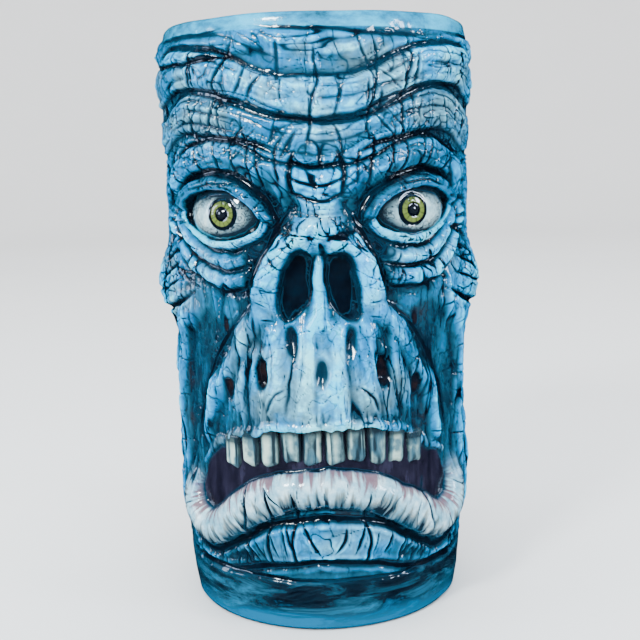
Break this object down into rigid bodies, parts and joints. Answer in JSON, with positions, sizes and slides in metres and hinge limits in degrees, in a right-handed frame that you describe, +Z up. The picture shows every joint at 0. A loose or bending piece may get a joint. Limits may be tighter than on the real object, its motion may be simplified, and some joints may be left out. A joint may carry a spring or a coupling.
{
  "type": "tiki mug",
  "caption": "Tall handleless ceramic drinking mug with a carved and wrinkled undead face, set-in eyeballs and a row of upper teeth, under a glossy turquoise glaze.",
  "frame": {"origin": "centre of the flat foot that the mug stands on, on the axis of the turned wall", "axes": "+Z up along the mug's axis, -Y out of the face towards the viewer, +X towards the face's own left ear"},
  "size_m": [0.0916, 0.0935, 0.165],
  "materials": {
    "turquoise_glaze": "high-gloss turquoise glaze, pooled deep teal in the hollows, thin and pale on the high spots, with a near-black wash in the cracks",
    "eye_glaze": "high-gloss off-white glaze with an olive-green painted iris and a dark pupil",
    "tooth_glaze": "glossy grey-white glaze, stained darker at the gum and between the teeth"
  },
  "bodies": {
    "root": {"mug_body": "turquoise_glaze", "left_eyeball": "eye_glaze", "right_eyeball": "eye_glaze", "upper_left_tooth_1": "tooth_glaze", "upper_left_tooth_2": "tooth_glaze", "upper_left_tooth_3": "tooth_glaze", "upper_left_tooth_4": "tooth_glaze", "upper_left_tooth_5": "tooth_glaze", "upper_right_tooth_1": "tooth_glaze", "upper_right_tooth_2": "tooth_glaze", "upper_right_tooth_3": "tooth_glaze", "upper_right_tooth_4": "tooth_glaze", "upper_right_tooth_5": "tooth_glaze"}
  },
  "joints": []
}
